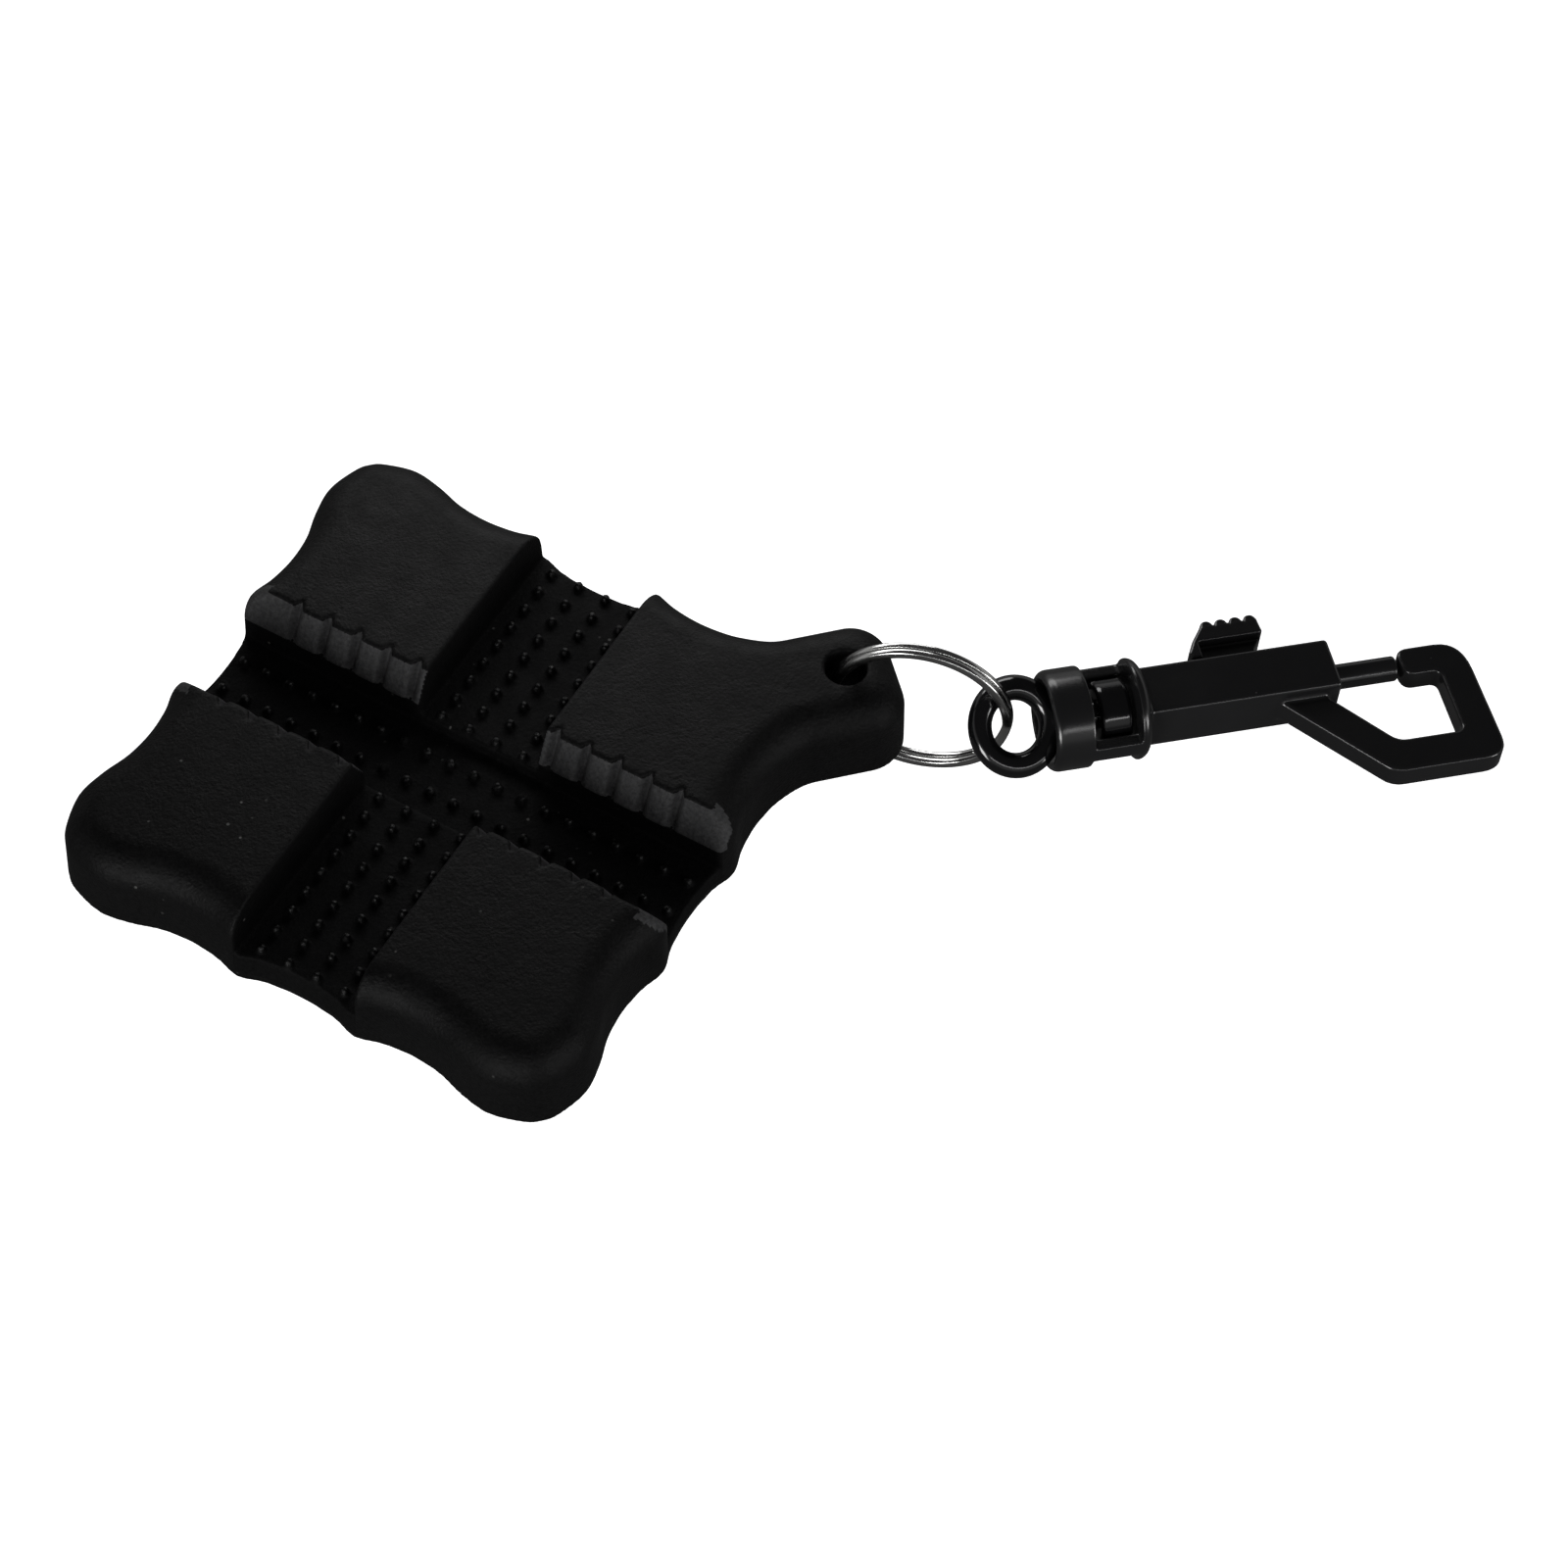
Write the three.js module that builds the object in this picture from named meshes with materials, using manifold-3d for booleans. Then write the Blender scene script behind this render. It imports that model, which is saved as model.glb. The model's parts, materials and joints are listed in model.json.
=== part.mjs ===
// Club groove brush: a square rubber scrub block with a clip on a split ring.
//
// The block lies flat. Its top is split into four pads by two crossing channels, both lined with rubber
// nubs, and a lug on one corner carries the ring. The ring holds a swivel eye, which turns in the cage of
// a snap hook. The hook's mouth is closed by a sprung bolt with a ridged thumb slide.
//
// Millimetres, +Z up. The origin is the centre of the block's flat base. +X runs along the block's
// diagonal to the lug and the clip, so the channels run at 45 degrees to X.

import * as THREE from 'three';
import { mergeVertices } from 'three/addons/utils/BufferGeometryUtils.js';
import Module from 'manifold-3d';

const wasm = await Module();
wasm.setup();

const DEGREE = Math.PI / 180;
const FIT_GAP = 0.3;

// Scrub block. "Across" is measured from a side's middle, "out" from the block's centre.
const BLOCK_HEIGHT = 12.2;
const EDGE_ROUND = 4.6;
const SIDE_HALF_OUTLINE = [
  { across: 0, out: 35.1 },
  { across: 5.0, out: 35.5 },
  { across: 8.6, out: 36.5 },
  { across: 12.2, out: 35.6 },
  { across: 16.2, out: 35.2 },
  { across: 20.4, out: 35.6 },
  { across: 24.4, out: 36.8 },
  { across: 28.6, out: 37.4 },
  { across: 33.0, out: 36.2 },
];
const CORNER_OUT = 34.9;
const OUTLINE_STEPS = 150;

// Lug on the corner that faces +X.
const LUG_END_X = 58.8;
const LUG_HALF_WIDTH = 8.6;
const LUG_NOTCH_X = 43.0;
const LUG_CORNER = 5.5;
const HOLE_X = 51.5;
const HOLE_RADIUS = 2.7;

// Channels. B is the shallow, straight-walled one; A is deeper and crosses it.
const CHANNEL_HALF_WIDTH = 8.8;
const FLOOR_B = 5.2;
const FLOOR_A = 3.6;
const CHANNEL_A_FLOOR_HALF = 6.4;
const RIB_FOOT_Z = 7.3;
const GROOVE_PITCH = 4.5;
const GROOVE_FIRST = 10.35;
const GROOVE_COUNT = 5;
const GROOVE_RADIUS = 0.55;

// Nubs on the channel floors.
const NUB_RADIUS = 0.6;
const NUB_TIP_RADIUS = 0.35;
const NUB_HEIGHT = 1.1;
const NUB_SIDES = 6;
const NUB_ROOT = 0.4;
const NUB_ROWS_A = [-2.5, 2.5];
const NUB_PITCH_A = 3.5;
const NUBS_PER_ROW_A = 20;
const NUB_ROWS_B = [-6.1, -2.03, 2.03, 6.1];
const NUB_PITCH_B = 3.34;
const NUBS_PER_ARM_B = 9;
const NUB_FIRST_B = 7.4;

// Split ring: two turns of flat wire, standing in the lug's hole.
const RING_RADIUS = 11.3;
const RING_HEIGHT = 7.0;
const RING_REACH = 10.0;
const RING_YAW = -27.3 * DEGREE;
const WIRE_RADIAL = 1.3;
const WIRE_AXIAL = 0.9;
const TURN_PITCH = 1.02;
const RING_TURNS = 1.87;
const RING_JOG = 0.11;
const RING_STEPS = 56;

// Clip. Its own axis runs from the eye's centre to the hook's nose.
const EYE_CENTRE = new THREE.Vector3(71.2, -10.6, 7.0);
const CLIP_YAW = -1.5 * DEGREE;
const CLIP_PITCH = 2.5 * DEGREE;

// Swivel eye.
const EYE_RING_RADIUS = 5.0;
const EYE_TUBE_RADIUS = 1.65;
const EYE_SQUEEZE = 0.93;
const EYE_TILT = 37 * DEGREE;
const NECK_RADIUS = 1.9;
const NECK_START = 4.8;
const HEAD_START = 10.4;
const HEAD_END = 14.6;
const HEAD_RADIUS = 4.2;

// Hook body: a round cage, a square barrel and a flat hook in one moulding.
const CAGE_MOUTH_X = 3.6;
const CAGE_END_X = 16.6;
const CAGE_RADIUS = 6.6;
const CAGE_CUP_RADIUS = 4.8;
const CAGE_MOUTH_RADIUS = 5.72;
const CAGE_CUP_FLOOR_X = 6.6;
const WINDOW_START_X = 8.9;
const WINDOW_END_X = 15.1;
const WINDOW_HALF_WIDTH = 4.7;
const SIDE_BAR_HALF_HEIGHT = 1.3;
const BARREL_END_X = 42.4;
const BARREL_HALF = 3.75;
const BORE_RADIUS = 1.95;
const BORE_BOTTOM_X = 17.4;
const SLOT_HALF_WIDTH = 1.3;
const HOOK_HALF_THICKNESS = 1.75;

// Bolt, thumb slide and spring. The bolt slides back into the barrel.
const BOLT_TRAVEL = 7.2;
const PIN_RADIUS = 1.65;
const PIN_REAR_X = 29.4;
const PIN_TIP_X = 51.1;
const PIN_CHAMFER = 0.5;
const PEG_START_X = 30.4;
const PEG_END_X = 33.4;
const PEG_HALF_WIDTH = 1.0;
const PEG_DEPTH = 0.9;
const SLIDE_HALF_HEIGHT = 3.3;
const SLIDE_POCKET_HALF_HEIGHT = 1.8;
const SLIDE_LIFT = 4.05;
const RIDGE_COUNT = 4;
const RIDGE_PITCH = 1.95;
const RIDGE_FIRST_X = 27.7;
const RIDGE_RADIUS = 0.85;
const RIDGE_BASE = 8.9;
const SPRING_RADIUS = 1.3;
const SPRING_WIRE_RADIUS = 0.22;
const SPRING_COILS = 6;
const SPRING_START_X = 18.0;
const SPRING_END_X = 28.8;
const SPRING_STEPS = 84;

const ROUND_SEGMENTS = 24;

// ---------------------------------------------------------------- solids

function toSolid(geometry) {
  const bare = geometry.index ? geometry.toNonIndexed() : geometry.clone();
  bare.deleteAttribute('normal');
  bare.deleteAttribute('uv');
  const merged = mergeVertices(bare, 1e-4);
  const vertProperties = new Float32Array(merged.attributes.position.array);
  const triVerts = new Uint32Array(merged.index.array);
  return new wasm.Manifold(new wasm.Mesh({ numProp: 3, vertProperties, triVerts }));
}

function toGeometry(solid) {
  const mesh = solid.getMesh();
  const geometry = new THREE.BufferGeometry();
  geometry.setAttribute('position', new THREE.BufferAttribute(mesh.vertProperties, 3));
  geometry.setIndex(new THREE.BufferAttribute(mesh.triVerts, 1));
  geometry.computeVertexNormals();
  return geometry;
}

function boxBetween(low, high) {
  const size = high.map((value, axis) => value - low[axis]);
  const geometry = new THREE.BoxGeometry(...size);
  geometry.translate(...low.map((value, axis) => value + size[axis] / 2));
  return toSolid(geometry);
}

// A closed outline in the XY plane, extruded from one height to another.
function prism(shape, low, high, curveSegments = 6) {
  const geometry = new THREE.ExtrudeGeometry(shape, { depth: high - low, bevelEnabled: false, curveSegments });
  geometry.translate(0, 0, low);
  return toSolid(geometry);
}

// A body of revolution about X, from a profile of {x, r} points that closes on itself or on the axis.
function turnedAboutX(profile, segments = ROUND_SEGMENTS) {
  const points = profile.map(({ x, r }) => new THREE.Vector2(r, x));
  const geometry = new THREE.LatheGeometry(points, segments);
  geometry.rotateZ(-Math.PI / 2);
  return toSolid(geometry);
}

function rodAlongX(radius, start, end, segments = ROUND_SEGMENTS) {
  return turnedAboutX([{ x: start, r: 0 }, { x: start, r: radius }, { x: end, r: radius }, { x: end, r: 0 }], segments);
}

function outlineShape(points) {
  return new THREE.Shape(points.map(([x, y]) => new THREE.Vector2(x, y)));
}

// ---------------------------------------------------------------- scrub block

// Turns block coordinates (across channel B, along channel B) into part coordinates.
function fromBlockAxes(u, v) {
  return new THREE.Vector2((u + v) * Math.SQRT1_2, (v - u) * Math.SQRT1_2);
}

// One side of the block, from its middle out, or in from its corner when mirrored.
function sidePoints(sideAngle) {
  const outward = new THREE.Vector2(0, 1).rotateAround(new THREE.Vector2(), sideAngle);
  const along = new THREE.Vector2(1, 0).rotateAround(new THREE.Vector2(), sideAngle);
  const place = (across, out) => {
    const block = outward.clone().multiplyScalar(out).addScaledVector(along, across);
    return fromBlockAxes(block.x, block.y);
  };
  const half = SIDE_HALF_OUTLINE;
  const before = half.slice(1).reverse().map(({ across, out }) => place(-across, out));
  const after = half.map(({ across, out }) => place(across, out));
  return [...before, ...after, place(CORNER_OUT, CORNER_OUT)];
}

function blockShape() {
  const points = [0, 1, 2, 3].flatMap((side) => sidePoints(-side * Math.PI / 2));
  const curve = new THREE.CatmullRomCurve3(points.map(({ x, y }) => new THREE.Vector3(x, y, 0)), true);
  const spaced = curve.getSpacedPoints(OUTLINE_STEPS).slice(0, -1).reverse();
  return new THREE.Shape(spaced.map(({ x, y }) => new THREE.Vector2(x, y)));
}

function lugShape() {
  const back = LUG_NOTCH_X - 16;
  const shape = new THREE.Shape();
  shape.moveTo(back, -LUG_HALF_WIDTH);
  const cornerX = LUG_END_X - LUG_CORNER;
  const cornerY = LUG_HALF_WIDTH - LUG_CORNER;
  shape.lineTo(cornerX, -LUG_HALF_WIDTH);
  shape.absarc(cornerX, -cornerY, LUG_CORNER, -Math.PI / 2, 0);
  shape.absarc(cornerX, cornerY, LUG_CORNER, 0, Math.PI / 2);
  shape.lineTo(back, LUG_HALF_WIDTH);
  return shape;
}

// A plan outline raised to the block's height, with its top edge rounded and its base flat.
function roundedSlab(shape) {
  const geometry = new THREE.ExtrudeGeometry(shape, {
    depth: BLOCK_HEIGHT,
    bevelThickness: EDGE_ROUND,
    bevelSize: EDGE_ROUND,
    bevelOffset: -EDGE_ROUND,
    bevelSegments: 4,
    curveSegments: 6,
  });
  geometry.translate(0, 0, -EDGE_ROUND);
  const halfSpace = boxBetween([-80, -80, 0], [80, 80, BLOCK_HEIGHT + 1]);
  return toSolid(geometry).intersect(halfSpace);
}

function turnedToChannelB(solid) {
  return solid.rotate([0, 0, -45]);
}

function turnedToChannelA(solid) {
  return solid.rotate([0, 0, 45]);
}

// The cutter of channel A, along Y: a plain deep slot with sloping walls above it.
function channelACutter() {
  const length = 60;
  const foot = CHANNEL_A_FLOOR_HALF;
  const rise = (CHANNEL_HALF_WIDTH - foot) / (BLOCK_HEIGHT - RIB_FOOT_Z);
  const top = BLOCK_HEIGHT + 1;
  const topHalf = foot + rise * (top - RIB_FOOT_Z);
  const profile = outlineShape([[-foot, FLOOR_A], [foot, FLOOR_A], [foot, RIB_FOOT_Z], [topHalf, top],
    [-topHalf, top], [-foot, RIB_FOOT_Z]]);
  const geometry = new THREE.ExtrudeGeometry(profile, { depth: 2 * length, bevelEnabled: false });
  geometry.translate(0, 0, -length);
  geometry.rotateX(Math.PI / 2);
  return toSolid(geometry);
}

// Grooves that run up one sloping wall of channel A, on both sides of the crossing.
function ribGrooves() {
  const run = CHANNEL_HALF_WIDTH - CHANNEL_A_FLOOR_HALF;
  const rise = BLOCK_HEIGHT - RIB_FOOT_Z;
  const slope = Math.atan2(run, rise);
  const length = Math.hypot(run, rise);
  const grooves = [];
  for (const wall of [-1, 1]) {
    for (const half of [-1, 1]) {
      for (let index = 0; index < GROOVE_COUNT; index += 1) {
        const groove = new THREE.CylinderGeometry(GROOVE_RADIUS, GROOVE_RADIUS, length + 6, 6);
        groove.rotateX(Math.PI / 2);
        groove.translate(0, 0, 3);
        groove.rotateY(wall * slope);
        const along = half * (GROOVE_FIRST + index * GROOVE_PITCH);
        groove.translate(wall * (CHANNEL_A_FLOOR_HALF + run / 2), along, RIB_FOOT_Z + rise / 2);
        grooves.push(toSolid(groove));
      }
    }
  }
  return wasm.Manifold.union(grooves).subtract(boxBetween([-20, -80, 0], [20, 80, RIB_FOOT_Z - 0.4]));
}

function nub(x, y, floor) {
  const geometry = new THREE.CylinderGeometry(NUB_TIP_RADIUS, NUB_RADIUS, NUB_HEIGHT + NUB_ROOT, NUB_SIDES);
  geometry.rotateX(Math.PI / 2);
  geometry.translate(x, y, floor + (NUB_HEIGHT - NUB_ROOT) / 2);
  return toSolid(geometry);
}

function nubsAlongA() {
  const nubs = [];
  for (const row of NUB_ROWS_A) {
    for (let index = 0; index < NUBS_PER_ROW_A; index += 1) {
      const along = (index - (NUBS_PER_ROW_A - 1) / 2) * NUB_PITCH_A;
      nubs.push(nub(row, along, FLOOR_A));
    }
  }
  return wasm.Manifold.union(nubs);
}

function nubsAlongB() {
  const nubs = [];
  for (const row of NUB_ROWS_B) {
    for (const arm of [-1, 1]) {
      for (let index = 0; index < NUBS_PER_ARM_B; index += 1) {
        nubs.push(nub(row, arm * (NUB_FIRST_B + index * NUB_PITCH_B), FLOOR_B));
      }
    }
  }
  return wasm.Manifold.union(nubs);
}

function scrubBlock() {
  const slab = roundedSlab(blockShape()).add(roundedSlab(lugShape()));
  const half = CHANNEL_HALF_WIDTH;
  const channelB = turnedToChannelB(boxBetween([-half, -60, FLOOR_B], [half, 60, BLOCK_HEIGHT + 1]));
  const channelA = turnedToChannelA(channelACutter().add(ribGrooves()));
  const hole = new THREE.CylinderGeometry(HOLE_RADIUS, HOLE_RADIUS, 3 * BLOCK_HEIGHT, ROUND_SEGMENTS);
  hole.rotateX(Math.PI / 2);
  hole.translate(HOLE_X, 0, 0);
  return slab
    .subtract(channelB)
    .subtract(channelA)
    .subtract(toSolid(hole))
    .add(turnedToChannelB(nubsAlongB()))
    .add(turnedToChannelA(nubsAlongA()));
}

// ---------------------------------------------------------------- split ring

// Two turns in the XZ plane, side by side along Y, joined by a short jog.
class RingPath extends THREE.Curve {
  getPoint(t, target = new THREE.Vector3()) {
    const turn = t * RING_TURNS;
    const sideStep = THREE.MathUtils.smoothstep(turn, RING_TURNS / 2 - RING_JOG / 2, RING_TURNS / 2 + RING_JOG / 2);
    const angle = turn * 2 * Math.PI;
    const side = (sideStep - 0.5) * TURN_PITCH;
    return target.set(RING_RADIUS * Math.cos(angle), side, RING_RADIUS * Math.sin(angle));
  }
}

// The wire's flat section with its corners cut.
function wireSection(axial, radial) {
  const cut = 0.2;
  const x = axial / 2;
  const y = radial / 2;
  return outlineShape([[x - cut, -y], [x, -y + cut], [x, y - cut], [x - cut, y], [-x + cut, y], [-x, y - cut],
    [-x, -y + cut], [-x + cut, -y]]);
}

function splitRing() {
  const section = wireSection(WIRE_AXIAL, WIRE_RADIAL);
  return new THREE.ExtrudeGeometry(section, { steps: RING_STEPS, extrudePath: new RingPath() });
}

// ---------------------------------------------------------------- swivel eye

function swivelEye() {
  const ring = new THREE.TorusGeometry(EYE_RING_RADIUS, EYE_TUBE_RADIUS, 12, 32);
  ring.scale(EYE_SQUEEZE, 1, 1);
  ring.rotateX(EYE_TILT);
  const stem = turnedAboutX([
    { x: NECK_START, r: 0 },
    { x: NECK_START, r: NECK_RADIUS },
    { x: HEAD_START, r: NECK_RADIUS },
    { x: HEAD_START, r: HEAD_RADIUS },
    { x: HEAD_END - 0.5, r: HEAD_RADIUS },
    { x: HEAD_END, r: HEAD_RADIUS - 0.5 },
    { x: HEAD_END, r: 0 },
  ]);
  return toSolid(ring).add(stem);
}

// ---------------------------------------------------------------- hook body

// The round cage: a cup at the eye's end and a collar at the barrel's end, joined by two side bars.
function cage() {
  const turned = turnedAboutX([
    { x: CAGE_CUP_FLOOR_X, r: 0 },
    { x: CAGE_CUP_FLOOR_X, r: CAGE_CUP_RADIUS },
    { x: CAGE_MOUTH_X + 1.4, r: CAGE_CUP_RADIUS + 0.3 },
    { x: CAGE_MOUTH_X, r: CAGE_MOUTH_RADIUS },
    { x: CAGE_MOUTH_X, r: CAGE_RADIUS - 0.55 },
    { x: CAGE_MOUTH_X + 0.6, r: CAGE_RADIUS - 0.18 },
    { x: CAGE_MOUTH_X + 1.5, r: CAGE_RADIUS },
    { x: CAGE_END_X - 1.3, r: CAGE_RADIUS },
    { x: CAGE_END_X - 0.4, r: CAGE_RADIUS - 0.4 },
    { x: CAGE_END_X, r: CAGE_RADIUS - 1.3 },
    { x: CAGE_END_X, r: 0 },
  ], 32);
  const side = WINDOW_HALF_WIDTH;
  const bar = SIDE_BAR_HALF_HEIGHT;
  const nearBar = boxBetween([WINDOW_START_X - 1, -12, -bar], [WINDOW_END_X + 1, -side, bar]);
  const farBar = boxBetween([WINDOW_START_X - 1, side, -bar], [WINDOW_END_X + 1, 12, bar]);
  const window = boxBetween([WINDOW_START_X, -10, -10], [WINDOW_END_X, 10, 10]).subtract(nearBar).subtract(farBar);
  const neckHole = rodAlongX(NECK_RADIUS + FIT_GAP, CAGE_CUP_FLOOR_X - 1, WINDOW_START_X + 1);
  return turned.subtract(window).subtract(neckHole);
}

// The flat hook's outline, from the barrel's near side round to the nose that meets the bolt.
function hookShape() {
  const shape = new THREE.Shape();
  shape.moveTo(33.2, -2.0);
  shape.lineTo(44.4, -15.6);
  shape.quadraticCurveTo(45.6, -17.1, 47.4, -17.1);
  shape.lineTo(57.6, -17.1);
  shape.quadraticCurveTo(61.1, -17.1, 61.0, -13.8);
  shape.lineTo(60.6, -3.4);
  shape.quadraticCurveTo(60.4, 1.8, 56.6, 1.8);
  shape.lineTo(53.0, 1.8);
  shape.quadraticCurveTo(51.4, 1.8, 51.4, 0.4);
  shape.lineTo(51.5, -1.0);
  shape.quadraticCurveTo(51.7, -2.5, 53.2, -2.5);
  shape.lineTo(55.2, -2.5);
  shape.quadraticCurveTo(56.2, -2.5, 56.2, -3.5);
  shape.lineTo(56.3, -11.2);
  shape.quadraticCurveTo(56.3, -12.2, 55.3, -12.2);
  shape.lineTo(48.8, -12.2);
  shape.quadraticCurveTo(47.6, -12.2, 46.8, -11.3);
  shape.lineTo(39.0, -2.0);
  shape.closePath();
  return shape;
}

function barrel() {
  const half = BARREL_HALF;
  const block = boxBetween([CAGE_END_X - 1, -half, -half], [BARREL_END_X, half, half]);
  const bore = rodAlongX(BORE_RADIUS, BORE_BOTTOM_X, BARREL_END_X + 2);
  const slotStart = PEG_START_X - BOLT_TRAVEL - FIT_GAP;
  const slotEnd = PEG_END_X + FIT_GAP;
  const slot = boxBetween([slotStart, 0, -SLOT_HALF_WIDTH], [slotEnd, half + 1, SLOT_HALF_WIDTH]);
  return { block, cuts: bore.add(slot) };
}

function hookBody() {
  const { block, cuts } = barrel();
  const hook = prism(hookShape(), -HOOK_HALF_THICKNESS, HOOK_HALF_THICKNESS, 6);
  return cage().add(block).add(hook).subtract(cuts);
}

// ---------------------------------------------------------------- bolt, thumb slide and spring

function boltPin() {
  const body = turnedAboutX([
    { x: PIN_REAR_X, r: 0 },
    { x: PIN_REAR_X, r: PIN_RADIUS },
    { x: PIN_TIP_X - PIN_CHAMFER, r: PIN_RADIUS },
    { x: PIN_TIP_X, r: PIN_RADIUS - PIN_CHAMFER },
    { x: PIN_TIP_X, r: 0 },
  ]);
  const gap = FIT_GAP / 2;
  const pegHole = boxBetween(
    [PEG_START_X + 0.4 - gap, PEG_DEPTH - gap, -PEG_HALF_WIDTH + 0.3 - gap],
    [PEG_END_X - 0.4 + gap, 3, PEG_HALF_WIDTH - 0.3 + gap],
  );
  return body.subtract(pegHole);
}

// The thumb slide's plan: a ramp at the cage's end, an undercut at the other.
function slideShape() {
  return outlineShape([[24.4, SLIDE_LIFT], [33.2, SLIDE_LIFT], [33.4, 5.2], [34.7, 6.9], [34.5, RIDGE_BASE],
    [26.8, RIDGE_BASE], [25.2, 6.8], [24.2, 5.0]]);
}

function thumbSlide() {
  let body = prism(slideShape(), -SLIDE_HALF_HEIGHT, SLIDE_HALF_HEIGHT);
  for (let index = 0; index < RIDGE_COUNT; index += 1) {
    const height = 2 * SLIDE_HALF_HEIGHT - 0.01;
    const ridge = new THREE.CylinderGeometry(RIDGE_RADIUS, RIDGE_RADIUS, height, 10);
    ridge.rotateX(Math.PI / 2);
    ridge.translate(RIDGE_FIRST_X + index * RIDGE_PITCH, RIDGE_BASE - 0.1, 0);
    body = body.add(toSolid(ridge));
  }
  for (const side of [-1, 1]) {
    const low = Math.min(side * SLIDE_POCKET_HALF_HEIGHT, side * 5);
    const high = Math.max(side * SLIDE_POCKET_HALF_HEIGHT, side * 5);
    body = body.subtract(boxBetween([25.9, SLIDE_LIFT - 1, low], [36, 6.6, high]));
  }
  const foot = boxBetween([PEG_START_X, 2.2, -PEG_HALF_WIDTH], [PEG_END_X, SLIDE_LIFT + 0.5, PEG_HALF_WIDTH]);
  const peg = boxBetween(
    [PEG_START_X + 0.4, PEG_DEPTH, -PEG_HALF_WIDTH + 0.3],
    [PEG_END_X - 0.4, 2.5, PEG_HALF_WIDTH - 0.3],
  );
  return body.add(foot).add(peg);
}

class SpringPath extends THREE.Curve {
  getPoint(t, target = new THREE.Vector3()) {
    const angle = t * SPRING_COILS * 2 * Math.PI;
    const x = THREE.MathUtils.lerp(SPRING_START_X, SPRING_END_X, t);
    return target.set(x, SPRING_RADIUS * Math.cos(angle), SPRING_RADIUS * Math.sin(angle));
  }
}

function boltSpring() {
  const wire = new THREE.Shape();
  wire.absarc(0, 0, SPRING_WIRE_RADIUS, 0, 2 * Math.PI);
  return new THREE.ExtrudeGeometry(wire, { steps: SPRING_STEPS, curveSegments: 3, extrudePath: new SpringPath() });
}

// ---------------------------------------------------------------- assembly

const RUBBER = { color: 0x1b1b1c, roughness: 0.92, metalness: 0 };
const NICKEL = { color: 0xc9c9c6, roughness: 0.14, metalness: 1 };
const GLOSS_PLASTIC = { color: 0x0d0d0e, roughness: 0.15, metalness: 0 };
const SATIN_PLASTIC = { color: 0x1a1a1b, roughness: 0.32, metalness: 0 };
const SPRING_STEEL = { color: 0x8f9092, roughness: 0.35, metalness: 1 };

function part(name, geometry, look) {
  const mesh = new THREE.Mesh(geometry, new THREE.MeshStandardMaterial(look));
  mesh.name = name;
  return mesh;
}

function ringGroup() {
  const group = new THREE.Group();
  group.position.set(HOLE_X + RING_REACH * Math.cos(RING_YAW), RING_REACH * Math.sin(RING_YAW), RING_HEIGHT);
  group.rotation.z = RING_YAW;
  group.add(part('split_ring', splitRing(), NICKEL));
  return group;
}

function clipGroup() {
  const group = new THREE.Group();
  group.position.copy(EYE_CENTRE);
  group.rotation.set(0, CLIP_PITCH, CLIP_YAW, 'ZYX');
  group.add(part('swivel_eye', toGeometry(swivelEye()), GLOSS_PLASTIC));
  group.add(part('hook_body', toGeometry(hookBody()), SATIN_PLASTIC));
  group.add(part('bolt_pin', toGeometry(boltPin()), SATIN_PLASTIC));
  group.add(part('thumb_slide', toGeometry(thumbSlide()), SATIN_PLASTIC));
  group.add(part('bolt_spring', boltSpring(), SPRING_STEEL));
  return group;
}

const brush = new THREE.Group();
brush.add(part('scrub_block', toGeometry(scrubBlock()), RUBBER));
brush.add(ringGroup());
brush.add(clipGroup());

export default brush;
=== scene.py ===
import json
import math

import bpy
import numpy as np
from mathutils import Matrix, Vector


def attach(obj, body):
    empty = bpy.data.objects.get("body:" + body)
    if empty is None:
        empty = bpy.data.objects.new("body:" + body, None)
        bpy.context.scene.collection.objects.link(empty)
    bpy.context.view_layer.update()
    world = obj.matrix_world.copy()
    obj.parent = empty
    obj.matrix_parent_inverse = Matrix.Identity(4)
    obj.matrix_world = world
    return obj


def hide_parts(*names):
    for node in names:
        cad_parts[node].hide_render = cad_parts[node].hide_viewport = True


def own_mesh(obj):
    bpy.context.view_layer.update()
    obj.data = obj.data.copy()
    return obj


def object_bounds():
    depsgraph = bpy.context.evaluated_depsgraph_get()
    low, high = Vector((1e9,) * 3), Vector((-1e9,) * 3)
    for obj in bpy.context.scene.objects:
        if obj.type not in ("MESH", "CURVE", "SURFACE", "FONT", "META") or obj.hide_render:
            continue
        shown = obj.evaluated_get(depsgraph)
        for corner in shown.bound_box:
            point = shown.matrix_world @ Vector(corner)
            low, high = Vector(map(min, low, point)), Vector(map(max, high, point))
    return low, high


MM = 0.001
DEG = math.pi / 180

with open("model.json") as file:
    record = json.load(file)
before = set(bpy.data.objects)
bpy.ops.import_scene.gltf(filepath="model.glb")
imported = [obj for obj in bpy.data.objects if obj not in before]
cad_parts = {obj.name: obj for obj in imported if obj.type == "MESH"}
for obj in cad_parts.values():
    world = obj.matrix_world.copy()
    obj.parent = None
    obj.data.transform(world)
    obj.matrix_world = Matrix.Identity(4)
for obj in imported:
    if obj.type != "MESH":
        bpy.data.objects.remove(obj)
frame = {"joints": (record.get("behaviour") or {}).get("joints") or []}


def rows(points):
    return np.asarray(points, float).tolist()


CAD_BOX = rows(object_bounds())


# ---------------------------------------------------------------- the frame's own places

JOINTS = {j["name"]: j for j in frame["joints"]}


def unit(vector):
    v = np.asarray(vector, float)
    return v / np.linalg.norm(v)


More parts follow.
